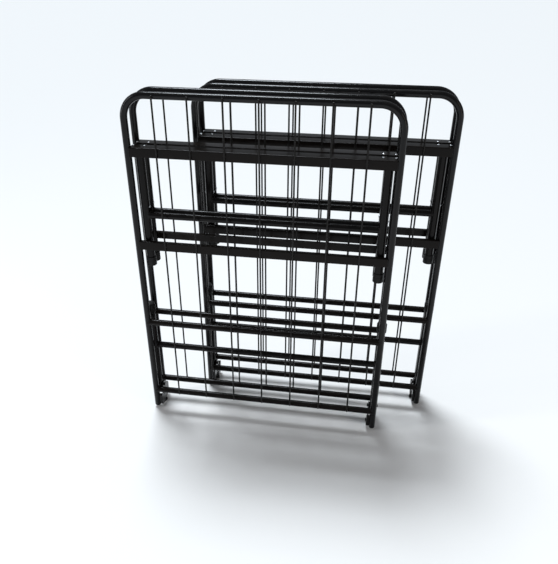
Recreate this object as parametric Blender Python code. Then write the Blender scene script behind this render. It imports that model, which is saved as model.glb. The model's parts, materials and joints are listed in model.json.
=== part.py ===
# Folding platform bed frame in two sections. Each section is two tube leaves
# hinged at one end, with wires and crossbars for the mattress, and three
# folding leg sets. It stands here as stored: both sections folded, upright on
# their hinge ends, one behind the other.
#
# Metres. +Z up, +X along the width of a section, +Y from the front section to
# the rear one. The origin is under the middle of the whole object.

import math

import bmesh
import bpy
from mathutils import Matrix, Vector

# ---------------------------------------------------------------- sizes
# Overall sizes of one leaf, measured on the tube's axis
RAIL_SPACING = 0.670      # between the axes of the two side rails
LEAF_HEIGHT = 0.953       # rail ends to the axis of the top tube
CORNER_RADIUS = 0.057     # axis radius of the two top corners

TUBE_RADIUS = 0.009       # rails, top tube and round crossbars
WIRE_RADIUS = 0.0023
WIRE_COUNT = 7
WIRE_MARGIN = 0.0779      # axis of a rail to the nearest wire

GAP = 0.0003              # between pieces that touch or are welded
WELD_SINK = 0.0004        # how far welded shapes of one piece overlap

# Crossbars
LEG_BAR_DROP = 0.126      # top edge of the angle that carries the legs, below the top tube
DECK_BAR_TOP = 0.572      # top edge of the small angle, above the rail ends
MID_BAR_HEIGHT = 0.310    # axis of the middle round bar, above the rail ends
LOW_BAR_HEIGHT = 0.061    # axis of the lowest round bar, above the rail ends

ANGLE_FACE = 0.024        # face of both angles
ANGLE_WALL = 0.0025
LEG_BAR_FLANGE = 0.032
DECK_BAR_FLANGE = 0.011
ANGLE_END_LAP = 0.003     # how far an angle laps over the rail

# Legs
LEG_RADIUS = 0.0115
FOOT_LEVEL = 0.330          # soles below the leaf's plane when it is unfolded
CENTRE_PIVOT_HEIGHT = 0.058 # above the rail ends
LEG_HEAD = 0.0055           # leg tube beyond its pivot
LEG_TO_LEAF = 0.0035        # folded outer leg to the plane of its leaf
BRACE_TO_SOLE = 0.147
BRACE_RADIUS = 0.009

# Leg feet
FOOT_WALL = 0.0022
FOOT_TIP_INSET = 0.0026     # the tip is this much narrower than the cup
FOOT_CUP_DEPTH = 0.024
FOOT_SOLE = 0.008
FOOT_EDGE = 0.001           # bevel round the sole and at the step
FOOT_FLOOR = 0.002          # the foot steps out this far below the cup's floor
FOOT_CLEARANCE = 0.0022     # between the feet of the two folded outer sets

# Leg brackets under the angle
EAR_WALL = 0.0025
EAR_CLEARANCE = 0.0010      # leg to ear
EAR_INSET = 0.0010          # an ear's nose is this much narrower than the leg
BRACKET_WEB = 0.0025
BRACKET_CLEARANCE = 0.0010  # outer ear to rail
HEAD_CLEARANCE = 0.0008     # the leg's head to the bracket as it turns

# Fold hinge
PIN_HEIGHT = 0.006        # fold axis above the floor
PIN_RADIUS = 0.003
PIN_HEAD_RADIUS = 0.0055
PIN_HEAD_TOP = 0.0038     # radius of the flat on top of a pin's head
PIN_HEAD_THICKNESS = 0.0022
RAIL_END_RISE = 0.0005    # rail ends above the fold axis, so they butt unfolded
HINGE_PLATE = 0.003
HINGE_TAB_LOW = 0.010     # bottom of the welded tab, above the rail end
HINGE_TAB_RADIUS = 0.0055
HINGE_BAR_CLEARANCE = 0.002 # hinge plates stay this far from the lowest bar
HINGE_TAB_DROP = 0.008    # top of the welded tab below the lowest bar
CENTRE_EAR_RADIUS = 0.011

# Bolts
BOLT_RADIUS = 0.003
BOLT_CLEARANCE = 0.0004
BOLT_HEX = 0.0045         # half the width across the flats
BOLT_HEAD = 0.004
NUT_HEIGHT = 0.005
CENTRE_BOLT_HEAD = 0.002  # low outboard head of a centre leg's bolt

# Where the two folded sections stand
SECTION_STEP_X = 0.139
SECTION_STEP_Y = 0.134

TUBE_SIDES = 12
WIRE_SIDES = 8
CORNER_STEPS = 8

# ---------------------------------------------------------------- derived
HALF_WIDTH = RAIL_SPACING / 2
WIRE_PITCH = (RAIL_SPACING - 2 * WIRE_MARGIN) / (WIRE_COUNT - 1)
RAIL_END = PIN_HEIGHT + RAIL_END_RISE
TOP_AXIS = RAIL_END + LEAF_HEIGHT
FOOT_RADIUS = LEG_RADIUS + GAP + FOOT_WALL
FOOT_TIP_RADIUS = FOOT_RADIUS - FOOT_TIP_INSET
EAR_RADIUS = LEG_RADIUS - EAR_INSET
EAR_REACH = LEG_RADIUS + EAR_CLEARANCE + EAR_WALL   # leg's axis to an ear's outer face
OUTER_LEG_X = HALF_WIDTH - TUBE_RADIUS - BRACKET_CLEARANCE - EAR_REACH
OUTER_LEG_Y = FOOT_RADIUS + FOOT_CLEARANCE / 2
HALF_GAP = OUTER_LEG_Y + LEG_RADIUS + LEG_TO_LEAF   # fold axis to a leaf's plane
LEG_BAR_Z = TOP_AXIS - LEG_BAR_DROP
BRACKET_ROOF = LEG_BAR_Z - ANGLE_WALL - BRACKET_WEB  # underside of its web
OUTER_PIVOT_Z = BRACKET_ROOF - math.hypot(LEG_RADIUS, LEG_HEAD) - HEAD_CLEARANCE
OUTER_LEG_LENGTH = FOOT_LEVEL - HALF_GAP + OUTER_LEG_Y
CENTRE_PIVOT_Z = RAIL_END + CENTRE_PIVOT_HEIGHT
CENTRE_LEG_LENGTH = FOOT_LEVEL - HALF_GAP
FOOT_STEP = FOOT_SOLE - FOOT_FLOOR
HINGE_TAB_HIGH = LOW_BAR_HEIGHT - TUBE_RADIUS - HINGE_TAB_DROP - HINGE_TAB_RADIUS
WIRE_Y = TUBE_RADIUS + GAP + WIRE_RADIUS          # in front of the leaf's plane
PROUD = GAP + WELD_SINK                           # deck bars reach the wires
HINGE_NOSE_RADIUS = PIN_HEIGHT / math.cos(math.pi / TUBE_SIDES)  # its flat is the floor
# The two layers of the fold hinge, inboard of the rails and of the centre legs
BASE_PLATE_X = HALF_WIDTH - LEG_RADIUS - GAP      # outboard face, base leaf
SWING_PLATE_X = BASE_PLATE_X - HINGE_PLATE - GAP  # outboard face, swinging leaf


# ---------------------------------------------------------------- scene
for old in list(bpy.data.objects):
    bpy.data.objects.remove(old, do_unlink=True)


def paint(name, colour, roughness, metallic):
    material = bpy.data.materials.new(name)
    material.use_nodes = True
    shader = material.node_tree.nodes["Principled BSDF"]
    shader.inputs["Base Color"].default_value = (*colour, 1)
    shader.inputs["Roughness"].default_value = roughness
    shader.inputs["Metallic"].default_value = metallic
    return material


FRAME_PAINT = paint("black_gloss_paint", (0.012, 0.011, 0.012), 0.22, 0.0)
BAR_PAINT = paint("black_bar_paint", (0.014, 0.012, 0.012), 0.28, 0.0)
LEG_PAINT = paint("black_leg_paint", (0.010, 0.009, 0.010), 0.30, 0.0)
WIRE_PAINT = paint("black_wire_paint", (0.016, 0.014, 0.014), 0.32, 0.0)
FOOT_PLASTIC = paint("black_foot_plastic", (0.018, 0.018, 0.019), 0.55, 0.0)
ZINC = paint("bright_zinc", (0.72, 0.73, 0.75), 0.28, 1.0)


def add_empty(name, location, parent=None):
    empty = bpy.data.objects.new(name, None)
    empty.location = location
    empty.parent = parent
    bpy.context.scene.collection.objects.link(empty)
    return empty


def add_node(name, bm, axis, material):
    """Make a node from a mesh built in section coordinates, hung on the empty
    that marks its joint's axis."""
    bmesh.ops.translate(bm, verts=bm.verts, vec=-axis.location)
    mesh = bpy.data.meshes.new(name)
    bm.to_mesh(mesh)
    bm.free()
    mesh.materials.append(material)
    mesh.shade_smooth()
    mesh.set_sharp_from_angle(angle=math.radians(40))
    node = bpy.data.objects.new(name, mesh)
    node.parent = axis
    bpy.context.scene.collection.objects.link(node)
    return node


def combine(node, operation, name, bm, axis):
    """Join a shape to a node, or cut it out, with a Boolean modifier."""
    tool = add_node(name, bm, axis, node.data.materials[0])
    tool.hide_render = True
    tool.display_type = "WIRE"
    modifier = node.modifiers.new(name, "BOOLEAN")
    modifier.operation = operation
    modifier.solver = "EXACT"
    modifier.object = tool


# ---------------------------------------------------------------- shapes
def add_rod(bm, start, end, radius, sides=TUBE_SIDES):
    """A solid round rod between two points that lie along one axis."""
    start, end = Vector(start), Vector(end)
    along = end - start
    turn = along.to_track_quat("Z", "Y").to_matrix().to_4x4()
    middle = Matrix.Translation((start + end) / 2)
    bmesh.ops.create_cone(bm, cap_ends=True, segments=sides, radius1=radius,
                          radius2=radius, depth=along.length, matrix=middle @ turn)


def add_block(bm, low, high):
    size = [b - a for a, b in zip(low, high)]
    middle = [(a + b) / 2 for a, b in zip(low, high)]
    matrix = Matrix.Translation(middle) @ Matrix.Diagonal((*size, 1))
    bmesh.ops.create_cube(bm, size=1, matrix=matrix)


def add_plate(bm, discs, low_x, high_x, sides=TUBE_SIDES):
    """A plate across X whose outline wraps round some discs, each (y, z, radius).
    Each disc has a flat at its lowest point."""
    points = []
    for x in (low_x, high_x):
        for y, z, radius in discs:
            for step in range(sides):
                angle = math.tau * (step + 0.5) / sides
                spot = (x, y + radius * math.cos(angle), z + radius * math.sin(angle))
                points.append(bm.verts.new(spot))
    hull = bmesh.ops.convex_hull(bm, input=points)
    inside = hull["geom_interior"] + hull["geom_unused"]
    loose = {v for v in inside if isinstance(v, bmesh.types.BMVert)}
    bmesh.ops.delete(bm, geom=list(loose), context="VERTS")


def add_turned(bm, rings, centre, axis_x):
    """A fastener along X. Each ring is (x, size, shape), where a hex ring has its
    flats at that size. axis_x is 1 or -1 for the way its head points."""
    loops = []
    for x, size, shape in rings:
        loop = []
        for step in range(TUBE_SIDES):
            angle = math.tau * step / TUBE_SIDES
            radius = size
            if shape == "hex":
                radius = size / math.cos((angle + math.pi / 6) % (math.pi / 3) - math.pi / 6)
            spot = (centre[0] + axis_x * x,
                    centre[1] + radius * math.cos(angle),
                    centre[2] + radius * math.sin(angle))
            loop.append(bm.verts.new(spot))
        loops.append(loop)
    for one, two in zip(loops, loops[1:]):
        for step in range(TUBE_SIDES):
            after = (step + 1) % TUBE_SIDES
            bm.faces.new((one[step], one[after], two[after], two[step]))
    bm.faces.new(loops[0])
    bm.faces.new(loops[-1])
    bmesh.ops.recalc_face_normals(bm, faces=bm.faces)


def mirror_y(bm):
    """Turn a leaf's shapes round, so that their outer face looks along +Y."""
    bmesh.ops.scale(bm, vec=(1, -1, 1), verts=bm.verts)
    bmesh.ops.reverse_faces(bm, faces=bm.faces)


def rail_cutters(plane_y):
    """The two side rails with the welding gap round them, to cope crossbars."""
    bm = bmesh.new()
    for side in (-1, 1):
        x = side * HALF_WIDTH
        add_rod(bm, (x, plane_y, 0), (x, plane_y, TOP_AXIS), TUBE_RADIUS + GAP)
    return bm


# ---------------------------------------------------------------- one leaf
def ring_edges(geometry):
    return [e for e in geometry if isinstance(e, bmesh.types.BMEdge)]


def run_straight(bm, ring, step):
    grown = bmesh.ops.extrude_edge_only(bm, edges=ring)["geom"]
    fresh = {v for v in grown if isinstance(v, bmesh.types.BMVert)}
    bmesh.ops.translate(bm, verts=list(fresh), vec=step)
    return [e for e in ring_edges(grown) if set(e.verts) <= fresh]


def run_corner(bm, ring, centre):
    turned = bmesh.ops.spin(bm, geom=ring, cent=centre, axis=(0, 1, 0), dvec=(0, 0, 0),
                            angle=math.pi / 2, steps=CORNER_STEPS, use_duplicate=False)
    return ring_edges(turned["geom_last"])


def leaf_frame():
    """The U of tube: up the left rail, over the top and down the right rail."""
    bm = bmesh.new()
    rise = LEAF_HEIGHT - CORNER_RADIUS
    inset = HALF_WIDTH - CORNER_RADIUS
    start = Matrix.Translation((-HALF_WIDTH, -HALF_GAP, RAIL_END))
    bmesh.ops.create_circle(bm, cap_ends=False, segments=TUBE_SIDES,
                            radius=TUBE_RADIUS, matrix=start)
    ring = list(bm.edges)
    ring = run_straight(bm, ring, (0, 0, rise))
    ring = run_corner(bm, ring, (-inset, -HALF_GAP, RAIL_END + rise))
    ring = run_straight(bm, ring, (2 * inset, 0, 0))
    ring = run_corner(bm, ring, (inset, -HALF_GAP, RAIL_END + rise))
    ring = run_straight(bm, ring, (0, 0, -rise))
    bmesh.ops.holes_fill(bm, edges=[e for e in bm.edges if e.is_boundary], sides=0)
    bmesh.ops.recalc_face_normals(bm, faces=bm.faces)
    return bm


def add_angle(bm, top, flange, front):
    """An L across the leaf: a face on the mattress side, and a flange inward
    from its top edge. front is the y of the face."""
    half = HALF_WIDTH - TUBE_RADIUS + ANGLE_END_LAP
    outline = [
        (front, top - ANGLE_FACE), (front + ANGLE_WALL, top - ANGLE_FACE),
        (front + ANGLE_WALL, top - ANGLE_WALL), (front + flange, top - ANGLE_WALL),
        (front + flange, top), (front, top),
    ]
    corners = [bm.verts.new((-half, y, z)) for y, z in outline]
    ring = [bm.edges.new(pair) for pair in zip(corners, corners[1:] + corners[:1])]
    far_ring = run_straight(bm, ring, (2 * half, 0, 0))
    bmesh.ops.holes_fill(bm, edges=ring + far_ring, sides=0)
    bmesh.ops.recalc_face_normals(bm, faces=bm.faces)


def leg_brackets():
    """Blocks under the leg angle that the slots turn into U brackets."""
    bm = bmesh.new()
    top = LEG_BAR_Z - ANGLE_WALL / 2
    for side in (-1, 1):
        x = side * OUTER_LEG_X
        nose = (-OUTER_LEG_Y, OUTER_PIVOT_Z, EAR_RADIUS)
        seat = [(-OUTER_LEG_Y + y, top - EAR_WALL, EAR_WALL)
                for y in (EAR_WALL - EAR_RADIUS, EAR_RADIUS - EAR_WALL)]
        add_plate(bm, [nose, *seat], x - EAR_REACH, x + EAR_REACH)
    return bm


def bracket_slots():
    bm = bmesh.new()
    reach = LEG_RADIUS + EAR_CLEARANCE
    depth = EAR_RADIUS + LEG_RADIUS     # well clear of the ears each way
    for side in (-1, 1):
        x = side * OUTER_LEG_X
        add_block(bm, (x - reach, -OUTER_LEG_Y - depth, OUTER_PIVOT_Z - depth),
                  (x + reach, -OUTER_LEG_Y + depth, BRACKET_ROOF))
    return bm


def bolt_holes(x, y, z):
    bm = bmesh.new()
    reach = EAR_REACH + LEG_RADIUS      # right through the leg and both ears
    for side in (-1, 1):
        add_rod(bm, (side * x - reach, y, z), (side * x + reach, y, z),
                BOLT_RADIUS + BOLT_CLEARANCE)
    return bm


def hinge_discs():
    """The outline of a hinge plate: its nose at the pin and its rail tab."""
    return [
        (0, PIN_HEIGHT, HINGE_NOSE_RADIUS),
        (-HALF_GAP, RAIL_END + HINGE_TAB_LOW, HINGE_TAB_RADIUS),
        (-HALF_GAP, RAIL_END + HINGE_TAB_HIGH, HINGE_TAB_RADIUS),
    ]


def hinge_plate(side, outer_x, carries_legs):
    bm = bmesh.new()
    discs = hinge_discs()
    if carries_legs:
        discs.append((0, CENTRE_PIVOT_Z, CENTRE_EAR_RADIUS))
    low, high = sorted((side * (outer_x - HINGE_PLATE), side * outer_x))
    add_plate(bm, discs, low, high)
    return bm


def hinge_pad(side, outer_x):
    """The raised tab that bridges from a hinge plate out to its rail."""
    bm = bmesh.new()
    low, high = sorted((side * (outer_x - 2 * HINGE_PLATE / 3),
                        side * (HALF_WIDTH - TUBE_RADIUS - GAP)))
    add_plate(bm, [(y, z, radius - GAP) for y, z, radius in hinge_discs()[1:]], low, high)
    return bm


def pin_holes():
    bm = bmesh.new()
    for side in (-1, 1):
        start = side * (SWING_PLATE_X - 2 * HINGE_PLATE)
        end = side * (BASE_PLATE_X + HINGE_PLATE)
        add_rod(bm, (start, 0, PIN_HEIGHT), (end, 0, PIN_HEIGHT),
                PIN_RADIUS + BOLT_CLEARANCE)
    return bm


def build_leaf(name, axis, outward, is_base):
    """One leaf. Its shapes are made for the leaf whose outer face looks along
    -Y, and turned round for the other one."""

    def turned(bm):
        if outward > 0:
            mirror_y(bm)
        return bm

    def cut_rails(node):
        combine(node, "DIFFERENCE", node.name + "_rail_cope",
                turned(rail_cutters(-HALF_GAP)), axis)

    add_node(name + "_frame", turned(leaf_frame()), axis, FRAME_PAINT)

    # the angle that carries the legs, with its two brackets
    bm = bmesh.new()
    add_angle(bm, LEG_BAR_Z, LEG_BAR_FLANGE, -HALF_GAP - TUBE_RADIUS)
    bar = add_node(name + "_leg_bar", turned(bm), axis, BAR_PAINT)
    cut_rails(bar)
    combine(bar, "UNION", name + "_bracket_blocks", turned(leg_brackets()), axis)
    combine(bar, "DIFFERENCE", name + "_bracket_slots", turned(bracket_slots()), axis)
    combine(bar, "DIFFERENCE", name + "_bracket_holes",
            turned(bolt_holes(OUTER_LEG_X, -OUTER_LEG_Y, OUTER_PIVOT_Z)), axis)

    # the deck: the small angle and the middle bar with the wires welded on
    bm = bmesh.new()
    add_angle(bm, RAIL_END + DECK_BAR_TOP, DECK_BAR_FLANGE, -HALF_GAP - TUBE_RADIUS - PROUD)
    middle = (-HALF_GAP - PROUD, RAIL_END + MID_BAR_HEIGHT)
    add_rod(bm, (-HALF_WIDTH, *middle), (HALF_WIDTH, *middle), TUBE_RADIUS)
    deck = add_node(name + "_wire_deck", turned(bm), axis, WIRE_PAINT)
    wires = bmesh.new()
    for index in range(WIRE_COUNT):
        x = (index - (WIRE_COUNT - 1) / 2) * WIRE_PITCH
        y = -HALF_GAP - WIRE_Y
        low = RAIL_END + LOW_BAR_HEIGHT - WIRE_RADIUS
        add_rod(wires, (x, y, low), (x, y, TOP_AXIS + WIRE_RADIUS), WIRE_RADIUS, WIRE_SIDES)
    combine(deck, "UNION", name + "_wires", turned(wires), axis)
    cut_rails(deck)

    # the lowest round bar
    bm = bmesh.new()
    low = (-HALF_GAP, RAIL_END + LOW_BAR_HEIGHT)
    add_rod(bm, (-HALF_WIDTH, *low), (HALF_WIDTH, *low), TUBE_RADIUS)
    cut_rails(add_node(name + "_low_bar", turned(bm), axis, BAR_PAINT))

    # the hinge plates
    outer_x = BASE_PLATE_X if is_base else SWING_PLATE_X
    for side, word in ((-1, "left"), (1, "right")):
        plate = add_node(f"{name}_hinge_plate_{word}",
                         turned(hinge_plate(side, outer_x, is_base)), axis, FRAME_PAINT)
        combine(plate, "UNION", plate.name + "_pad", turned(hinge_pad(side, outer_x)), axis)
        combine(plate, "DIFFERENCE", plate.name + "_pin_hole", pin_holes(), axis)
        if is_base:
            combine(plate, "DIFFERENCE", plate.name + "_leg_hole",
                    bolt_holes(HALF_WIDTH, 0, CENTRE_PIVOT_Z), axis)
            relief = bmesh.new()
            add_rod(relief, (-HALF_WIDTH, *low), (HALF_WIDTH, *low),
                    TUBE_RADIUS + HINGE_BAR_CLEARANCE)
            combine(plate, "DIFFERENCE", plate.name + "_bar_relief", turned(relief), axis)


# ---------------------------------------------------------------- legs
def build_leg_set(name, axis, leg_x, y, pivot_z, sole_z):
    """Two legs and their brace, as one welded piece, and a foot on each leg."""
    way = 1 if sole_z > pivot_z else -1
    legs = bmesh.new()
    for side in (-1, 1):
        add_rod(legs, (side * leg_x, y, pivot_z - way * LEG_HEAD),
                (side * leg_x, y, sole_z - way * (FOOT_SOLE + GAP)), LEG_RADIUS)
    leg_set = add_node(name + "_set", legs, axis, LEG_PAINT)
    brace = bmesh.new()
    brace_z = sole_z - way * BRACE_TO_SOLE
    add_rod(brace, (-leg_x, y, brace_z), (leg_x, y, brace_z), BRACE_RADIUS)
    combine(leg_set, "UNION", name + "_brace", brace, axis)
    combine(leg_set, "DIFFERENCE", name + "_holes", bolt_holes(leg_x, y, pivot_z), axis)

    for side, word in ((-1, "left"), (1, "right")):
        # profile of the foot from the rim of its sole to the rim of the cup's floor
        inner = LEG_RADIUS + GAP
        rim = FOOT_SOLE + FOOT_CUP_DEPTH
        profile = [
            (FOOT_TIP_RADIUS - FOOT_EDGE, 0), (FOOT_TIP_RADIUS, FOOT_EDGE),
            (FOOT_TIP_RADIUS, FOOT_STEP), (FOOT_RADIUS, FOOT_STEP + FOOT_EDGE),
            (FOOT_RADIUS, rim), (inner, rim), (inner, FOOT_SOLE),
        ]
        bm = bmesh.new()
        spots = [(side * leg_x + r, y, sole_z - way * h) for r, h in profile]
        chain = [bm.verts.new(spot) for spot in spots]
        edges = [bm.edges.new(pair) for pair in zip(chain, chain[1:])]
        bmesh.ops.spin(bm, geom=chain + edges, cent=(side * leg_x, y, 0), axis=(0, 0, 1),
                       dvec=(0, 0, 0), angle=math.tau, steps=TUBE_SIDES,
                       use_merge=True, use_duplicate=False)
        bmesh.ops.holes_fill(bm, edges=[e for e in bm.edges if e.is_boundary], sides=0)
        bmesh.ops.recalc_face_normals(bm, faces=bm.faces)
        add_node(f"{name}_foot_{word}", bm, axis, FOOT_PLASTIC)


def add_bolt(name, axis, side, inner_x, outer_x, outer_head, y, z, material):
    """A hex bolt along X with its head inboard at inner_x and its nut, or a low
    head, at outer_x."""
    rings = [
        (inner_x - BOLT_HEAD, BOLT_HEX, "hex"), (inner_x, BOLT_HEX, "hex"),
        (inner_x, BOLT_RADIUS, "round"), (outer_x, BOLT_RADIUS, "round"),
        (outer_x, BOLT_HEX, "hex"), (outer_x + outer_head, BOLT_HEX, "hex"),
    ]
    bm = bmesh.new()
    add_turned(bm, rings, (0, y, z), side)
    add_node(name, bm, axis, material)


def build_section(name, location, base_side):
    """One folded section. base_side is 1 when the leaf at +Y is the base, and
    the leaf at -Y swings on it."""
    section = add_empty(name + "_section", location)
    base = add_empty(name + "_base", (0, 0, 0), section)
    fold = add_empty(name + "_fold_axis", (0, 0, PIN_HEIGHT), section)
    leaves = {base_side: ("base", base), -base_side: ("swing", fold)}

    for outward in (-1, 1):
        role, axis = leaves[outward]
        leaf = f"{name}_{'near' if outward < 0 else 'far'}"
        build_leaf(leaf, axis, outward, role == "base")
        leg_y = outward * OUTER_LEG_Y
        pivot = add_empty(leaf + "_leg_axis", (0, leg_y, OUTER_PIVOT_Z), section)
        build_leg_set(leaf + "_leg", pivot, OUTER_LEG_X, leg_y, OUTER_PIVOT_Z,
                      OUTER_PIVOT_Z - OUTER_LEG_LENGTH)
        reach = EAR_REACH + GAP
        for side, word in ((-1, "left"), (1, "right")):
            add_bolt(f"{leaf}_leg_bolt_{word}", axis, side,
                     OUTER_LEG_X - reach, OUTER_LEG_X + reach, NUT_HEIGHT,
                     leg_y, OUTER_PIVOT_Z, ZINC)

    centre = add_empty(name + "_centre_leg_axis", (0, 0, CENTRE_PIVOT_Z), section)
    build_leg_set(name + "_centre_leg", centre, HALF_WIDTH, 0, CENTRE_PIVOT_Z,
                  CENTRE_PIVOT_Z + CENTRE_LEG_LENGTH)
    for side, word in ((-1, "left"), (1, "right")):
        add_bolt(f"{name}_centre_leg_bolt_{word}", base, side,
                 BASE_PLATE_X - HINGE_PLATE - GAP, HALF_WIDTH + LEG_RADIUS + GAP,
                 CENTRE_BOLT_HEAD, 0, CENTRE_PIVOT_Z, FRAME_PAINT)
        inner = SWING_PLATE_X - HINGE_PLATE - GAP
        outer = BASE_PLATE_X + GAP
        rings = [
            (inner - PIN_HEAD_THICKNESS, PIN_HEAD_TOP, "round"),
            (inner, PIN_HEAD_RADIUS, "round"), (inner, PIN_RADIUS, "round"),
            (outer, PIN_RADIUS, "round"), (outer, PIN_HEAD_RADIUS, "round"),
            (outer + PIN_HEAD_THICKNESS, PIN_HEAD_TOP, "round"),
        ]
        bm = bmesh.new()
        add_turned(bm, rings, (0, 0, PIN_HEIGHT), side)
        add_node(f"{name}_hinge_pin_{word}", bm, base, FRAME_PAINT)


build_section("front", (-SECTION_STEP_X / 2, -SECTION_STEP_Y / 2, 0), 1)
build_section("rear", (SECTION_STEP_X / 2, SECTION_STEP_Y / 2, 0), -1)
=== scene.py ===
import json
import math

import bmesh
import bpy
from mathutils import Euler, Matrix, Vector


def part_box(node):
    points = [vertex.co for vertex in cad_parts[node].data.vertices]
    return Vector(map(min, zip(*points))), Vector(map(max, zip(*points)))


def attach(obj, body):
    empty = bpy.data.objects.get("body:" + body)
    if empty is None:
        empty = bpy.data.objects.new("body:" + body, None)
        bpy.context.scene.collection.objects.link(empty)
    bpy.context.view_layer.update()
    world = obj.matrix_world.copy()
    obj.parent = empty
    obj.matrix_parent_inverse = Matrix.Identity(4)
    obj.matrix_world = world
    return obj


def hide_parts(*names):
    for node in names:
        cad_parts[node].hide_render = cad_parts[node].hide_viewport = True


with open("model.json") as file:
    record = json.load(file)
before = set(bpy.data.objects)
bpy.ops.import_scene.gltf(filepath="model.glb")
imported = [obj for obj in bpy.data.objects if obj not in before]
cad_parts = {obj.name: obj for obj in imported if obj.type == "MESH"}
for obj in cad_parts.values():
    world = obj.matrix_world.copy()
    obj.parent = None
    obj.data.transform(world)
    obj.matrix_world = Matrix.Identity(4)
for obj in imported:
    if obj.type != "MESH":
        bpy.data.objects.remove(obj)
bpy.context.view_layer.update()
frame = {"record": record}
record = frame["record"]
bodyOf = {node: body for body, nodes in record["behaviour"]["bodies"].items() for node in nodes}
print("frame loaded:", len(bodyOf), "solids")


# camera, light and floor

view = {"spot": (0.1772, -1.4534, 1.2452), "turn": (60.910, -0.386, 8.517), "lens": 37.18}
camera = bpy.data.objects.new("camera", bpy.data.cameras.new("camera"))
camera.location = view["spot"]
camera.rotation_euler = Euler([math.radians(a) for a in view["turn"]], "XYZ")
camera.data.lens = view["lens"]
camera.data.sensor_width = 36
bpy.context.scene.collection.objects.link(camera)
bpy.context.scene.camera = camera
bpy.context.scene.view_settings.view_transform = "Standard"

studio = {
    # name: place, what it aims at, width, height, power, colour
    "leftStrip": ((-2.6, -1.0, 1.5), (0, 0, 0.5), 0.25, 2.0, 18, (0.96, 0.97, 1.0)),
    "rightStrip": ((2.5, -1.6, 1.2), (0, 0, 0.5), 0.30, 1.6, 7, (1.0, 0.82, 0.64)),
}
for name, (spot, aim, width, height, power, colour) in studio.items():
    light = bpy.data.lights.new(name, "AREA")
    light.shape = "RECTANGLE"
    light.size, light.size_y = width, height
    light.energy = power
    light.color = colour
    lamp = bpy.data.objects.new(name, light)
    lamp.location = spot
    lamp.rotation_euler = (Vector(aim) - Vector(spot)).to_track_quat("-Z", "Y").to_euler()
    bpy.context.scene.collection.objects.link(lamp)

skylight = {"from": (-0.35, 0.55, 1.6), "power": 3.2, "spread": 20, "colour": (0.86, 0.93, 1.0)}
light = bpy.data.lights.new("skylight", "SUN")
light.energy = skylight["power"]
light.angle = math.radians(skylight["spread"])
light.color = skylight["colour"]
lamp = bpy.data.objects.new("skylight", light)
lamp.rotation_euler = (-Vector(skylight["from"])).to_track_quat("-Z", "Y").to_euler()
bpy.context.scene.collection.objects.link(lamp)

world = bpy.data.worlds.new("studioAir")
world.use_nodes = True
world.node_tree.nodes["Background"].inputs["Color"].default_value = (0.86, 0.92, 1.0, 1)
world.node_tree.nodes["Background"].inputs["Strength"].default_value = 0.27
bpy.context.scene.world = world
print("camera and lights ready")


# finishes

class Link:
    # a node's output; sums on it add Math nodes
    def __init__(self, finish, socket):
        self.finish, self.socket = finish, socket

    def maths(self, operation, one, two):
        return self.finish.node("Math", {"operation": operation}, {0: one, 1: two})

    def __add__(self, other):
        return self.maths("ADD", self, other)

    def __sub__(self, other):
        return self.maths("SUBTRACT", self, other)

    def __rsub__(self, other):
        return self.maths("SUBTRACT", other, self)

    def __mul__(self, other):
        return self.maths("MULTIPLY", self, other)

    def __pow__(self, other):
        return self.maths("POWER", self, other)

    __radd__ = __add__
    __rmul__ = __mul__


class Finish:
    def __init__(self, name):
        self.material = bpy.data.materials.new(name)
        self.material.use_nodes = True
        self.tree = self.material.node_tree
        self.shader = self.tree.nodes["Principled BSDF"]

    def node(self, kind, settings, sockets, output=0):
        made = self.tree.nodes.new("ShaderNode" + kind)
        for key, value in settings.items():
            if key == "stops":
                while len(made.color_ramp.elements) < len(value):
                    made.color_ramp.elements.new(1)
                for stop, (place, shade) in zip(made.color_ramp.elements, value):
                    stop.position = place
                    stop.color = (shade, shade, shade, 1)
            else:
                setattr(made, key, value)
        self.feed(made, sockets)
        return Link(self, made.outputs[output])

    def feed(self, target, sockets):
        for key, value in sockets.items():
            if isinstance(value, Link):
                self.tree.links.new(value.socket, target.inputs[key])
            else:
                target.inputs[key].default_value = value

    def noise(self, place, scale, detail=3.0, roughness=0.55):
        return self.node("TexNoise", {}, {"Vector": place, "Scale": scale, "Detail": detail,
                                          "Roughness": roughness}, "Fac")

    def ramp(self, value, *stops):
        return self.node("ValToRGB", {"stops": stops}, {"Fac": value})

    def mix(self, amount, one, two):
        return self.node("Mix", {"data_type": "RGBA"}, {0: amount, 6: one, 7: two}, 2)


blackPaint = {
    # finish: colour, roughness, gloss, depth of the orange peel, dust, scuffs
    "framePaint": ((0.0040, 0.0036, 0.0038), 0.12, 0.22, 0.030, 0.07, 0.45),
    # the warm brown tint of the bar, leg, wire and weld colours, set against the nearly neutral frame
    # colour, is a painted reflection of a brown wooden floor on the lower parts
    "barPaint": ((0.0056, 0.0040, 0.0032), 0.16, 0.12, 0.035, 0.06, 0.5),
    "legPaint": ((0.0042, 0.0034, 0.0031), 0.18, 0.15, 0.030, 0.08, 0.6),
    "wirePaint": ((0.0062, 0.0050, 0.0044), 0.22, 0.20, 0.030, 0.10, 0.3),
    "weldPaint": ((0.0056, 0.0046, 0.0042), 0.26, 0.20, 0.150, 0.12, 0.15),
}
dustColour = (0.20, 0.18, 0.155, 1)
primerColour = (0.10, 0.098, 0.095, 1)


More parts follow.
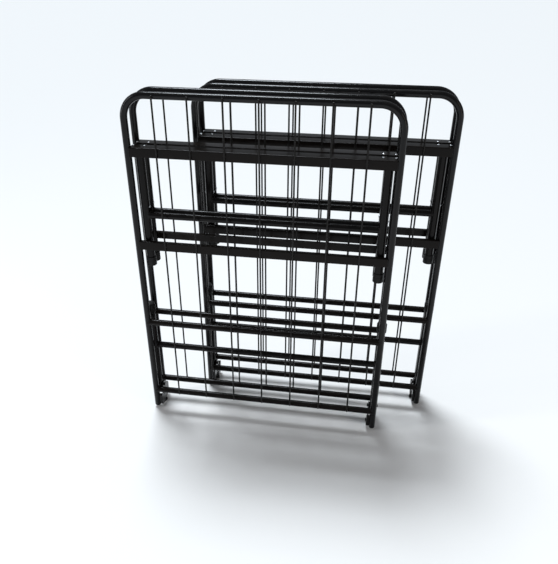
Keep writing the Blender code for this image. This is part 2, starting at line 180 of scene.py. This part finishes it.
def makeBlackPaint(name, colour, roughness, gloss, peel, dust, scuffs):
    finish = Finish(name)
    place = finish.node("TexCoord", {}, {}, "Object")
    facing = finish.node("TexCoord", {}, {}, "Normal")
    up = finish.node("SeparateXYZ", {}, {"Vector": facing}, "Z")

    # slow changes of tone, and the fine skin that sprayed powder dries to
    cloud = finish.noise(place, 7.0, 4.0, 0.6)
    skin = finish.noise(place, 620.0, 1.5, 0.4)
    grit = finish.noise(place, 2600.0, 1.0, 0.5)

    # dust lies on what looks up, in patches
    lying = finish.ramp(up, (0.25, 0.0), (0.95, 1.0))
    patches = finish.ramp(finish.noise(place, 38.0, 6.0, 0.68), (0.36, 0.0), (0.74, 1.0))
    dusty = lying * patches * dust

    # rubs along the length of the tubes, and a few small chips
    drawn = finish.node("Mapping", {}, {"Vector": place, "Scale": (1.0, 1.0, 0.07)})
    rubs = finish.ramp(finish.noise(drawn, 420.0, 3.0, 0.7), (0.66, 0.0), (0.78, 1.0))
    rubArea = finish.ramp(finish.noise(place, 11.0, 3.0, 0.6), (0.50, 0.0), (0.68, 1.0))
    rubbed = rubs * rubArea * scuffs
    chips = finish.ramp(finish.noise(place, 240.0, 2.0, 0.5), (0.755, 0.0), (0.775, 1.0))
    chipped = chips * rubArea * scuffs

    deep = finish.mix(cloud, (*[c * 0.72 for c in colour], 1), (*[c * 1.35 for c in colour], 1))
    worn = finish.mix(chipped + rubbed * 0.22, deep, primerColour)
    finish.feed(finish.shader, {
        "Base Color": finish.mix(dusty, worn, dustColour),
        "Roughness": roughness + cloud * 0.07 + dusty * 0.42 + rubbed * 0.22 + grit * 0.03,
        "Specular IOR Level": gloss,
        "Normal": finish.node("Bump", {}, {
            "Strength": peel, "Distance": 0.0006,
            "Height": skin + grit * 0.12 - chipped * 1.4}),
    })
    return finish.material


zinc = {"colour": (0.70, 0.72, 0.75), "tarnish": (0.38, 0.37, 0.35), "roughness": 0.24}


def makeZinc(name):
    finish = Finish(name)
    place = finish.node("TexCoord", {}, {}, "Object")
    spangle = finish.node("TexVoronoi", {}, {"Vector": place, "Scale": 900.0}, "Color")
    tone = finish.node("SeparateColor", {}, {"Color": spangle}, "Red")
    age = finish.ramp(finish.noise(place, 130.0, 5.0, 0.65), (0.42, 0.0), (0.72, 1.0))
    tool = finish.noise(place, 1800.0, 2.0, 0.6)
    finish.feed(finish.shader, {
        "Base Color": finish.mix(age * 0.75 + tone * 0.12, (*zinc["colour"], 1),
                                 (*zinc["tarnish"], 1)),
        "Metallic": 1.0,
        "Roughness": zinc["roughness"] + age * 0.25 + tone * 0.08,
        "Normal": finish.node("Bump", {}, {"Strength": 0.12, "Distance": 0.0003,
                                           "Height": tool}),
    })
    return finish.material


plastic = {"colour": (0.0065, 0.0062, 0.0062), "scuffed": (0.030, 0.028, 0.026), "roughness": 0.46}


def makePlastic(name):
    finish = Finish(name)
    place = finish.node("TexCoord", {}, {}, "Object")
    facing = finish.node("TexCoord", {}, {}, "Normal")
    upright = finish.node("SeparateXYZ", {}, {"Vector": facing}, "Z")
    flat = finish.ramp(upright ** 2, (0.55, 0.0), (0.9, 1.0))    # soles and rims wear first
    grain = finish.node("TexVoronoi", {}, {"Vector": place, "Scale": 1500.0}, "Distance")
    marks = finish.ramp(finish.noise(place, 260.0, 5.0, 0.7), (0.45, 0.0), (0.70, 1.0))
    worn = marks * (flat * 0.7 + 0.12)
    finish.feed(finish.shader, {
        "Base Color": finish.mix(worn, (*plastic["colour"], 1), (*plastic["scuffed"], 1)),
        "Roughness": plastic["roughness"] + worn * 0.3 + grain * 0.08,
        "Specular IOR Level": 0.2,
        "Normal": finish.node("Bump", {}, {"Strength": 0.18, "Distance": 0.0004,
                                           "Height": grain - worn * 0.5}),
    })
    return finish.material


finishes = {name: makeBlackPaint(name, *look) for name, look in blackPaint.items()}
finishes["zincPlate"] = makeZinc("zincPlate")
finishes["footPlastic"] = makePlastic("footPlastic")

floor = {"size": 60.0, "colour": (0.86, 0.845, 0.82), "roughness": 0.75}
bm = bmesh.new()
bmesh.ops.create_grid(bm, x_segments=1, y_segments=1, size=floor["size"] / 2)
floorMesh = bpy.data.meshes.new("floor")
bm.to_mesh(floorMesh)
bm.free()
floorFinish = Finish("floorPaint")
floorFinish.feed(floorFinish.shader, {"Base Color": (*floor["colour"], 1),
                                      "Roughness": floor["roughness"],
                                      "Specular IOR Level": 0.2})
floorMesh.materials.append(floorFinish.material)
floorPiece = bpy.data.objects.new("floor", floorMesh)
bpy.context.scene.collection.objects.link(floorPiece)
print("finishes ready:", len(finishes))


# shared shapes

def addPiece(name, bm, look, like, replaced=()):
    # like is a solid that the piece moves with
    bmesh.ops.recalc_face_normals(bm, faces=bm.faces)
    mesh = bpy.data.meshes.new(name)
    bm.to_mesh(mesh)
    bm.free()
    mesh.materials.append(finishes[look])
    mesh.shade_smooth()
    mesh.set_sharp_from_angle(angle=math.radians(38))
    piece = bpy.data.objects.new(name, mesh)
    bpy.context.scene.collection.objects.link(piece)
    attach(piece, bodyOf[like])
    if replaced:
        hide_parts(*replaced)
    return piece


def soften(piece, width, segments=2):
    bevel = piece.modifiers.new("edges", "BEVEL")
    bevel.width = width
    bevel.segments = segments
    bevel.limit_method = "ANGLE"
    bevel.angle_limit = math.radians(38)
    return piece


def edgesOf(geometry):
    return [e for e in geometry if isinstance(e, bmesh.types.BMEdge)]


def addRod(bm, start, end, radius, sides, rounding=0.0):
    # a round bar along one axis, with its ends rounded over
    start, end = Vector(start), Vector(end)
    turn = (end - start).to_track_quat("Z", "Y").to_matrix().to_4x4()
    rod = bmesh.ops.create_cone(bm, cap_ends=True, segments=sides, radius1=radius, radius2=radius,
                                depth=(end - start).length,
                                matrix=Matrix.Translation((start + end) / 2) @ turn)
    if rounding:
        caps = {f for v in rod["verts"] for f in v.link_faces if len(f.verts) == sides}
        rims = {e for f in caps for e in f.edges}
        bmesh.ops.bevel(bm, geom=list(rims), offset=rounding, affect="EDGES", segments=4,
                        profile=0.5, material=-1)
    return rod["verts"]


weldDistance = 0.00001
turnedSteps = 28


def addTurned(bm, profile, centre, along, steps=turnedSteps):
    # a shape turned about the line through centre; profile is (radius, distance along it)
    across = Vector((0, 0, 1)) if abs(along[2]) < 0.5 else Vector((1, 0, 0))
    along = Vector(along)
    chain = [bm.verts.new(Vector(centre) + across * r + along * h) for r, h in profile]
    edges = [bm.edges.new(pair) for pair in zip(chain, chain[1:])]
    bmesh.ops.spin(bm, geom=chain + edges, cent=centre, axis=along, dvec=(0, 0, 0),
                   angle=math.tau, steps=steps, use_merge=True, use_duplicate=False)
    bmesh.ops.holes_fill(bm, edges=[e for e in bm.edges if e.is_boundary], sides=0)
    bmesh.ops.remove_doubles(bm, verts=bm.verts, dist=weldDistance)


def addHex(bm, centre, along, acrossFlats, height):
    # a nut or a bolt's head, its top corners turned off
    centre, along = Vector(centre), Vector(along)
    turn = along.to_track_quat("Z", "Y").to_matrix().to_4x4()
    radius = acrossFlats / math.sqrt(3)
    hexHead = bmesh.ops.create_cone(bm, cap_ends=True, segments=6, radius1=radius, radius2=radius,
                                    depth=height,
                                    matrix=Matrix.Translation(centre + along * height / 2) @ turn)
    caps = {f for v in hexHead["verts"] for f in v.link_faces if len(f.verts) == 6}
    rims = {e for f in caps for e in f.edges}
    bmesh.ops.bevel(bm, geom=list(rims), offset=height * 0.12, affect="EDGES", segments=2,
                    profile=0.5, material=-1)


def domeProfile(radius, height, skirt):
    # a low dome on a short straight skirt, for the head of a rivet
    arc = [(radius * math.cos(a), skirt + (height - skirt) * math.sin(a))
           for a in (math.radians(step * 15) for step in range(7))]
    return [(0.0, 0.0), (radius, 0.0), *arc[:-1], (0.0, height)]


weldBead = {"sides": 8, "steps": 40, "ripples": 21, "ripple": 0.10}


def addBead(bm, side, postX, y, z, barRadius, postRadius, bead):
    # the weld where a bar across meets an upright tube, laid in the saddle between them
    ring = bmesh.ops.create_circle(
        bm, cap_ends=False, segments=weldBead["sides"], radius=bead,
        matrix=Matrix.Translation((0, y, z + barRadius)) @ Matrix.Rotation(math.pi / 2, 4, "Y")
        @ Matrix.Rotation(math.pi / 2, 4, "X"))
    loop = {e for v in ring["verts"] for e in v.link_edges}
    bmesh.ops.spin(bm, geom=ring["verts"] + list(loop), cent=(0, y, z), axis=(1, 0, 0),
                   dvec=(0, 0, 0), angle=math.tau, steps=weldBead["steps"],
                   use_merge=True, use_duplicate=False)
    for v in [v for v in bm.verts if not v.tag]:
        angle = math.atan2(v.co.z - z, v.co.y - y)
        swell = 1 + weldBead["ripple"] * math.sin(weldBead["ripples"] * angle)
        reach = math.hypot(v.co.y - y, v.co.z - z)
        bulge = barRadius + (reach - barRadius) * swell
        v.co.y = y + math.cos(angle) * bulge
        v.co.z = z + math.sin(angle) * bulge
        saddle = math.sqrt(max(postRadius ** 2 - min(abs(v.co.y - y), postRadius) ** 2, 0))
        v.co.x = v.co.x * swell + side * (postX - saddle)
        v.tag = True


def cope(verts, postX, postRadius, y):
    # shape the ends of a bar across to the tubes that it is welded to
    for v in verts:
        saddle = math.sqrt(max(postRadius ** 2 - min(abs(v.co.y - y), postRadius) ** 2, 0))
        v.co.x = math.copysign(postX - saddle, v.co.x)


# leaves

def findLeaf(section, word):
    name = f"{section}_{word}"
    low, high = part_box(name + "_frame")
    barLow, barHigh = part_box(name + "_leg_bar")
    wireLow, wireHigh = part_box(name + "_wire_deck")
    away = max(abs(y - (low.y + high.y) / 2) for y in (wireLow.y, wireHigh.y))
    lowBarLow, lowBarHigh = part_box(name + "_low_bar")
    radius = (high.y - low.y) / 2
    return {
        "name": name, "piece": section + word.capitalize(), "outward": -1 if word == "near" else 1,
        "x": (low.x + high.x) / 2, "y": (low.y + high.y) / 2, "radius": radius,
        "half": (high.x - low.x) / 2 - radius, "railEnd": low.z, "top": high.z - radius,
        "legBarTop": barHigh.z, "wireLow": wireLow.z, "wireHigh": wireHigh.z, "deckOut": away,
        "lowBar": (lowBarLow.z + lowBarHigh.z) / 2,
    }


def settle(bm, leaf):
    # shapes are made round x and y of 0, outer face towards -Y; put them on their leaf
    if leaf["outward"] > 0:
        bmesh.ops.scale(bm, vec=(1, -1, 1), verts=bm.verts)
        bmesh.ops.reverse_faces(bm, faces=bm.faces)
    bmesh.ops.translate(bm, vec=(leaf["x"], leaf["y"], 0), verts=bm.verts)
    return bm


leafTube = {"sides": 36, "cornerRadius": 0.057, "cornerSteps": 20, "endRounding": 0.0032}


def runStraight(bm, ring, step):
    grown = bmesh.ops.extrude_edge_only(bm, edges=ring)["geom"]
    fresh = {v for v in grown if isinstance(v, bmesh.types.BMVert)}
    bmesh.ops.translate(bm, verts=list(fresh), vec=step)
    return [e for e in edgesOf(grown) if set(e.verts) <= fresh]


def runCorner(bm, ring, centre):
    turned = bmesh.ops.spin(bm, geom=ring, cent=centre, axis=(0, 1, 0), dvec=(0, 0, 0),
                            angle=math.pi / 2, steps=leafTube["cornerSteps"], use_duplicate=False)
    return edgesOf(turned["geom_last"])


def makeLeafTube(leaf):
    bm = bmesh.new()
    bend = leafTube["cornerRadius"]
    rise = leaf["top"] - leaf["railEnd"] - bend
    inset = leaf["half"] - bend
    bmesh.ops.create_circle(bm, cap_ends=False, segments=leafTube["sides"], radius=leaf["radius"],
                            matrix=Matrix.Translation((-leaf["half"], 0, leaf["railEnd"])))
    ring = runStraight(bm, list(bm.edges), (0, 0, rise))
    ring = runCorner(bm, ring, (-inset, 0, leaf["railEnd"] + rise))
    ring = runStraight(bm, ring, (2 * inset, 0, 0))
    ring = runCorner(bm, ring, (inset, 0, leaf["railEnd"] + rise))
    runStraight(bm, ring, (0, 0, -rise))
    rims = [e for e in bm.edges if e.is_boundary]
    bmesh.ops.holes_fill(bm, edges=rims, sides=0)
    bmesh.ops.bevel(bm, geom=rims, offset=leafTube["endRounding"], affect="EDGES", segments=5,
                    profile=0.5, material=-1)
    node = leaf["name"] + "_frame"
    addPiece(leaf["piece"] + "Tube", settle(bm, leaf), "framePaint", node, [node])


angleBar = {"face": 0.024, "wall": 0.0025, "endLap": 0.003, "bend": 0.0022, "edge": 0.0005,
            "legFlange": 0.032, "deckFlange": 0.011}


def addAngle(bm, leaf, top, flange, front):
    # a rolled L: its face on the mattress side, its flange inward from the top edge
    half = leaf["half"] - leaf["radius"] + angleBar["endLap"]
    face, wall = angleBar["face"], angleBar["wall"]
    outline = [(front, top - face), (front + wall, top - face), (front + wall, top - wall),
               (front + flange, top - wall), (front + flange, top), (front, top)]
    corners = [bm.verts.new((-half, y, z)) for y, z in outline]
    end = bm.faces.new(corners)
    grown = bmesh.ops.extrude_face_region(bm, geom=[end])["geom"]
    fresh = [v for v in grown if isinstance(v, bmesh.types.BMVert)]
    bmesh.ops.translate(bm, vec=(2 * half, 0, 0), verts=fresh)
    bend = [e for e in bm.edges if all(abs(v.co.z - top) < 1e-6 and abs(v.co.y - front) < 1e-6
                                       for v in e.verts)]
    bmesh.ops.bevel(bm, geom=bend, offset=angleBar["bend"], affect="EDGES", segments=6,
                    profile=0.5, material=-1)


bracket = {"inside": 0.0125, "wall": 0.0025, "reach": 0.0105, "drop": 0.0291, "nose": 0.0098,
           "edge": 0.00035, "rivetOut": 0.0150, "rivetRadius": 0.0030, "rivetHeight": 0.0019,
           "rivetSkirt": 0.0004}


def makeLegBar(leaf):
    bm = bmesh.new()
    top = leaf["legBarTop"]
    addAngle(bm, leaf, top, angleBar["legFlange"], -leaf["radius"])
    node = leaf["name"] + "_leg_bar"
    bar = addPiece(leaf["piece"] + "LegBar", settle(bm, leaf), "barPaint", node, [node])
    soften(bar, angleBar["edge"])

    setLow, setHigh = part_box(leaf["name"] + "_leg_set")
    legX = (setHigh.x - setLow.x) / 2 - (setHigh.y - setLow.y) / 2
    legY = abs((setLow.y + setHigh.y) / 2 - leaf["y"])
    under = top - angleBar["wall"]
    for side, word in ((-1, "Left"), (1, "Right")):
        x = side * legX
        # a channel bent from strip, its ears down either side of the leg
        bm = bmesh.new()
        inner, outer = bracket["inside"], bracket["inside"] + bracket["wall"]
        floorZ, bottom = under - bracket["wall"], top - bracket["drop"]
        outline = [(-outer, under), (-outer, bottom), (-inner, bottom), (-inner, floorZ),
                   (inner, floorZ), (inner, bottom), (outer, bottom), (outer, under)]
        start = legY - bracket["reach"]
        shape = bm.faces.new([bm.verts.new((x + dx, start, z)) for dx, z in outline])
        grown = bmesh.ops.extrude_face_region(bm, geom=[shape])["geom"]
        fresh = [v for v in grown if isinstance(v, bmesh.types.BMVert)]
        bmesh.ops.translate(bm, vec=(0, 2 * bracket["reach"], 0), verts=fresh)
        noses = [e for e in bm.edges if all(abs(v.co.z - bottom) < 1e-6 for v in e.verts)
                 and abs(e.verts[0].co.y - e.verts[1].co.y) < 1e-6]
        bmesh.ops.bevel(bm, geom=noses, offset=bracket["nose"], affect="EDGES", segments=8,
                        profile=0.5, material=-1)
        strip = addPiece(f"{leaf['piece']}Bracket{word}", settle(bm, leaf), "barPaint", node)
        soften(strip, bracket["edge"])

        # bright rivets through the flange and the bracket
        bm = bmesh.new()
        for away in (-1, 1):
            spot = x + away * bracket["rivetOut"]
            addTurned(bm, domeProfile(bracket["rivetRadius"], bracket["rivetHeight"],
                                      bracket["rivetSkirt"]),
                      (spot, legY, top), (0, 0, 1))
        addPiece(f"{leaf['piece']}BracketRivets{word}", settle(bm, leaf), "zincPlate", node)


deck = {"barTop": 0.572, "midBar": 0.310, "proud": 0.0007, "wireCount": 7, "wirePitch": 0.0857,
        "wireRadius": 0.0023, "wireSides": 16, "barSides": 32,
        "weld": (0.0036, 0.0019, 0.0027), "weldOut": 0.0004, "weldDrop": 0.45}


def makeDeck(leaf):
    bm = bmesh.new()
    proud, radius = deck["proud"], leaf["radius"]
    deckTop = leaf["railEnd"] + deck["barTop"]
    addAngle(bm, leaf, deckTop, angleBar["deckFlange"], -radius - proud)
    node = leaf["name"] + "_wire_deck"
    bar = addPiece(leaf["piece"] + "DeckAngle", settle(bm, leaf), "barPaint", node)
    soften(bar, angleBar["edge"])

    bm = bmesh.new()
    midZ = leaf["railEnd"] + deck["midBar"]
    cope(addRod(bm, (-leaf["half"], -proud, midZ), (leaf["half"], -proud, midZ), radius,
                deck["barSides"]), leaf["half"], radius, 0)
    addPiece(leaf["piece"] + "MidBar", settle(bm, leaf), "barPaint", node)

    bm = bmesh.new()
    places = [(i - (deck["wireCount"] - 1) / 2) * deck["wirePitch"] for i in range(deck["wireCount"])]
    wireY = deck["wireRadius"] - leaf["deckOut"]
    for x in places:
        addRod(bm, (x, wireY, leaf["wireLow"]), (x, wireY, leaf["wireHigh"]),
               deck["wireRadius"], deck["wireSides"], deck["wireRadius"] * 0.6)
    addPiece(leaf["piece"] + "Wires", settle(bm, leaf), "wirePaint", node, [node])

    # a small weld under each wire wherever it crosses a bar
    bm = bmesh.new()
    crossings = [leaf["top"], leaf["legBarTop"] - angleBar["face"] * deck["weldDrop"],
                 deckTop - angleBar["face"] * deck["weldDrop"], midZ, leaf["lowBar"]]
    for x in places:
        for z in crossings:
            bmesh.ops.create_icosphere(
                bm, subdivisions=2, radius=1,
                matrix=Matrix.Translation((x, -radius - deck["weldOut"], z))
                @ Matrix.Diagonal((*deck["weld"], 1)))
    addPiece(leaf["piece"] + "WireWelds", settle(bm, leaf), "weldPaint", node)


railWeld = {"bead": 0.0011, "sides": 10, "inset": 0.0012, "endInset": 0.0015}


def makeLowBar(leaf):
    bm = bmesh.new()
    z, radius = leaf["lowBar"], leaf["radius"]
    cope(addRod(bm, (-leaf["half"], 0, z), (leaf["half"], 0, z), radius, deck["barSides"]),
         leaf["half"], radius, 0)
    node = leaf["name"] + "_low_bar"
    addPiece(leaf["piece"] + "LowBar", settle(bm, leaf), "barPaint", node, [node])

    bm = bmesh.new()
    for side in (-1, 1):
        for height, y in ((z, 0), (leaf["railEnd"] + deck["midBar"], -deck["proud"])):
            addBead(bm, side, leaf["half"], y, height, radius, radius, railWeld["bead"])
    addPiece(leaf["piece"] + "RailWelds", settle(bm, leaf), "weldPaint", node)

    # short welds down the ends of both angles
    bm = bmesh.new()
    x = leaf["half"] - radius + angleBar["endLap"]
    for top, front in ((leaf["legBarTop"], -radius),
                       (leaf["railEnd"] + deck["barTop"], -radius - deck["proud"])):
        for side in (-1, 1):
            weldY = front + railWeld["inset"]
            low, high = top - angleBar["face"] + railWeld["endInset"], top - railWeld["endInset"]
            addRod(bm, (side * x, weldY, low), (side * x, weldY, high), railWeld["bead"],
                   railWeld["sides"], railWeld["bead"] * 0.7)
    addPiece(leaf["piece"] + "AngleWelds", settle(bm, leaf), "weldPaint", node)


hinge = {"tabLow": 0.010, "tabHigh": 0.0385, "tabRadius": 0.0055, "earRadius": 0.011,
         "plate": 0.003, "sides": 40, "edge": 0.0005}


def addPlate(bm, discs, lowX, highX):
    # a plate across X whose outline wraps round some discs
    fresh = []
    for x in (lowX, highX):
        for y, z, radius in discs:
            disc = bmesh.ops.create_circle(
                bm, cap_ends=False, segments=hinge["sides"], radius=radius,
                matrix=Matrix.Translation((x, y, z)) @ Matrix.Rotation(math.pi / 2, 4, "Y"))
            fresh += disc["verts"]
    hull = bmesh.ops.convex_hull(bm, input=fresh)
    inside = {v for v in hull["geom_interior"] + hull["geom_unused"]
              if isinstance(v, bmesh.types.BMVert)}
    bmesh.ops.delete(bm, geom=list(inside), context="VERTS")
    bmesh.ops.delete(bm, geom=[e for e in bm.edges if not e.link_faces], context="EDGES")
    bmesh.ops.dissolve_limit(bm, angle_limit=math.radians(1), verts=bm.verts, edges=bm.edges)


def makeHinge(leaf, carriesLegs):
    section = leaf["name"].split("_")[0]
    for side, word in ((-1, "left"), (1, "right")):
        node = f"{leaf['name']}_hinge_plate_{word}"
        pinLow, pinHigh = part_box(f"{section}_hinge_pin_{word}")
        inward = abs((pinLow.y + pinHigh.y) / 2 - leaf["y"])
        pinZ = (pinLow.z + pinHigh.z) / 2
        tabs = [(0, leaf["railEnd"] + hinge["tabLow"], hinge["tabRadius"]),
                (0, leaf["railEnd"] + hinge["tabHigh"], hinge["tabRadius"])]
        # the nose round the pin touches the floor
        discs = [(inward, pinZ, pinZ), *tabs]
        if carriesLegs:
            boltLow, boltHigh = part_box(f"{section}_centre_leg_bolt_{word}")
            discs.append((inward, (boltLow.z + boltHigh.z) / 2, hinge["earRadius"]))
        reach = sorted(abs(corner.x - leaf["x"]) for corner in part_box(node))
        bm = bmesh.new()
        addPlate(bm, discs, *sorted((side * reach[0], side * (reach[0] + hinge["plate"]))))
        plate = addPiece(f"{leaf['piece']}HingePlate{word.capitalize()}", settle(bm, leaf),
                         "framePaint", node, [node])
        soften(plate, hinge["edge"])
        # a pad bridges from the plate out to the rail
        bm = bmesh.new()
        addPlate(bm, [(y, z, radius - hinge["edge"]) for y, z, radius in tabs],
                 *sorted((side * (reach[0] + hinge["plate"] * 0.8), side * reach[1])))
        pad = addPiece(f"{leaf['piece']}HingePad{word.capitalize()}", settle(bm, leaf),
                       "weldPaint", node)
        soften(pad, hinge["edge"] / 2)


bolt = {"acrossFlats": 0.0090, "head": 0.0040, "nut": 0.0050, "washer": 0.0051,
        "washerThickness": 0.0006, "shank": 0.0030, "tipRounding": 0.0006}
centreBolt = {"radius": 0.0044, "height": 0.0020}


def makeBolt(name, node, side, look, low):
    # hex head inboard; outboard a nut on a showing tip, or a low domed head
    near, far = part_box(node)
    y, z = (near.y + far.y) / 2, (near.z + far.z) / 2
    inner, outer = (near.x, far.x) if side > 0 else (far.x, near.x)
    thick, flats = bolt["washerThickness"], bolt["acrossFlats"]
    headFace = inner + side * bolt["head"]
    nutFace = outer - side * (centreBolt["height"] if low else bolt["nut"])
    faces = [(headFace, -side)]
    bm = bmesh.new()
    addHex(bm, (headFace - side * thick, y, z), (-side, 0, 0), flats, bolt["head"] - thick)
    if low:
        addTurned(bm, domeProfile(centreBolt["radius"], centreBolt["height"], thick),
                  (nutFace, y, z), (side, 0, 0))
        outer = nutFace
    else:
        addHex(bm, (nutFace + side * thick, y, z), (side, 0, 0), flats,
               bolt["nut"] - thick - bolt["tipRounding"] * 1.5)
        faces.append((nutFace, side))
    for spot, way in faces:
        addTurned(bm, [(0.0, 0.0), (bolt["washer"], 0.0), (bolt["washer"], thick), (0.0, thick)],
                  (spot, y, z), (way, 0, 0))
    length, shank, tip = abs(outer - headFace), bolt["shank"], bolt["tipRounding"]
    addTurned(bm, [(0.0, 0.0), (shank, 0.0), (shank, length - tip), (shank - tip, length),
                   (0.0, length)], (headFace, y, z), (side, 0, 0))
    addPiece(name, bm, look, node, [node])


for section, base in (("front", "far"), ("rear", "near")):
    for word in ("near", "far"):
        leaf = findLeaf(section, word)
        makeLeafTube(leaf)
        makeLegBar(leaf)
        makeDeck(leaf)
        makeLowBar(leaf)
        makeHinge(leaf, word == base)
        for side, hand in ((-1, "left"), (1, "right")):
            makeBolt(f"{leaf['piece']}LegBolt{hand.capitalize()}",
                     f"{leaf['name']}_leg_bolt_{hand}", side, "zincPlate", False)
    print("leaves made:", section)


# legs

leg = {"sides": 36, "wall": 0.0012, "hollow": 0.018, "braceRadius": 0.009, "braceToSole": 0.147,
       "bead": 0.0013, "rivetAbove": 0.024, "rivetRadius": 0.0034, "rivetHeight": 0.0021,
       "rivetSkirt": 0.0007, "rivetSink": 0.0006, "braceSides": 32}


def makeLegSet(section, word):
    node = f"{section}_{word}_leg_set"
    low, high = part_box(node)
    footLow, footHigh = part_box(f"{section}_{word}_leg_foot_left")
    middle = Vector((low + high) / 2)
    radius = (high.y - low.y) / 2
    legX = (high.x - low.x) / 2 - radius
    way = 1 if footLow.z + footHigh.z > low.z + high.z else -1
    head, end = (low.z, high.z) if way > 0 else (high.z, low.z)
    sole = footHigh.z if way > 0 else footLow.z
    braceZ = sole - way * leg["braceToSole"]
    pieceName = f"{section}{word.capitalize()}Leg"

    bm = bmesh.new()
    for side in (-1, 1):
        verts = addRod(bm, (side * legX, 0, min(head, end)), (side * legX, 0, max(head, end)),
                       radius, leg["sides"])
        cap = next(f for v in verts for f in v.link_faces
                   if len(f.verts) == leg["sides"] and abs(v.co.z - head) < 1e-6)
        bmesh.ops.inset_region(bm, faces=[cap], thickness=leg["wall"], use_even_offset=True)
        bore = bmesh.ops.extrude_discrete_faces(bm, faces=[cap])["faces"]
        bmesh.ops.translate(bm, vec=(0, 0, way * leg["hollow"]), verts=list(bore[0].verts))
    cope(addRod(bm, (-legX, 0, braceZ), (legX, 0, braceZ), leg["braceRadius"],
                leg["braceSides"]),
         legX, radius, 0)
    bmesh.ops.translate(bm, vec=(middle.x, middle.y, 0), verts=bm.verts)
    addPiece(pieceName + "Set", bm, "legPaint", node, [node])

    bm = bmesh.new()
    for side in (-1, 1):
        addBead(bm, side, legX, 0, braceZ, leg["braceRadius"], radius, leg["bead"])
    bmesh.ops.translate(bm, vec=(middle.x, middle.y, 0), verts=bm.verts)
    addPiece(pieceName + "Welds", bm, "weldPaint", node)

    # a bright rivet through each outer leg, its head inboard
    if word != "centre":
        bm = bmesh.new()
        for side in (-1, 1):
            spot = Vector((middle.x + side * legX, middle.y, braceZ + leg["rivetAbove"]))
            for way, scale in ((-side, 1.0), (side, 0.75)):
                reach = Vector((way * (radius - leg["rivetSink"]), 0, 0))
                addTurned(bm, domeProfile(leg["rivetRadius"] * scale, leg["rivetHeight"],
                                          leg["rivetSkirt"]),
                          spot + reach, (way, 0, 0))
        addPiece(pieceName + "Rivets", bm, "zincPlate", node)

    for side, hand in ((-1, "left"), (1, "right")):
        makeFoot(f"{section}_{word}_leg_foot_{hand}", f"{pieceName}Foot{hand.capitalize()}", way)


foot = {"tipRadius": 0.0114, "radius": 0.0140, "step": 0.0060, "bore": 0.0117, "round": 0.0009,
        "dish": 0.0005, "groove": 0.0004, "grooveLow": 0.46, "grooveHigh": 0.52, "floor": 0.0085,
        "steps": 36}


def makeFoot(node, name, way):
    low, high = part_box(node)
    sole = high.z if way > 0 else low.z
    length = high.z - low.z
    tip, out, edge, bore = foot["tipRadius"], foot["radius"], foot["round"], foot["bore"]
    step, dish, groove, floorZ = foot["step"], foot["dish"], foot["groove"], foot["floor"]
    grooveLow, grooveHigh = length * foot["grooveLow"], length * foot["grooveHigh"]
    profile = [
        (0.0, dish), (tip * 0.62, dish), (tip * 0.70, 0.0), (tip - edge, 0.0),
        (tip - edge * 0.3, edge * 0.3), (tip, edge), (tip, step - dish),
        (tip + groove, step), (out - edge * 0.6, step + groove), (out, step + edge),
        (out, grooveLow), (out - groove, grooveLow + groove),
        (out - groove, grooveHigh), (out, grooveHigh + groove), (out, length - edge),
        (out - edge * 0.5, length - edge * 0.2), (out - edge, length),
        (bore + groove / 2, length), (bore, length - groove), (bore, floorZ), (0.0, floorZ),
    ]
    bm = bmesh.new()
    addTurned(bm, profile, ((low.x + high.x) / 2, (low.y + high.y) / 2, sole), (0, 0, -way),
              foot["steps"])
    addPiece(name, bm, "footPlastic", node, [node])


for section in ("front", "rear"):
    for word in ("near", "far", "centre"):
        makeLegSet(section, word)
    for side, hand in ((-1, "left"), (1, "right")):
        makeBolt(f"{section}CentreLegBolt{hand.capitalize()}",
                 f"{section}_centre_leg_bolt_{hand}", side, "framePaint", True)
    print("legs made:", section)


# fold hinge pins

pin = {"headRadius": 0.0055, "head": 0.0022, "skirt": 0.0006, "shank": 0.0030}


def makePin(node, name):
    low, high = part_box(node)
    y, z = (low.y + high.y) / 2, (low.z + high.z) / 2
    bm = bmesh.new()
    length = high.x - low.x
    for x, way in ((high.x - pin["head"], 1), (low.x + pin["head"], -1)):
        addTurned(bm, domeProfile(pin["headRadius"], pin["head"], pin["skirt"]),
                  (x, y, z), (way, 0, 0))
    addTurned(bm, [(0.0, 0.0), (pin["shank"], 0.0), (pin["shank"], length - 2 * pin["head"]),
                   (0.0, length - 2 * pin["head"])], (low.x + pin["head"], y, z), (1, 0, 0))
    addPiece(name, bm, "framePaint", node, [node])


for section in ("front", "rear"):
    for hand in ("left", "right"):
        makePin(f"{section}_hinge_pin_{hand}", f"{section}HingePin{hand.capitalize()}")
print("pins made")
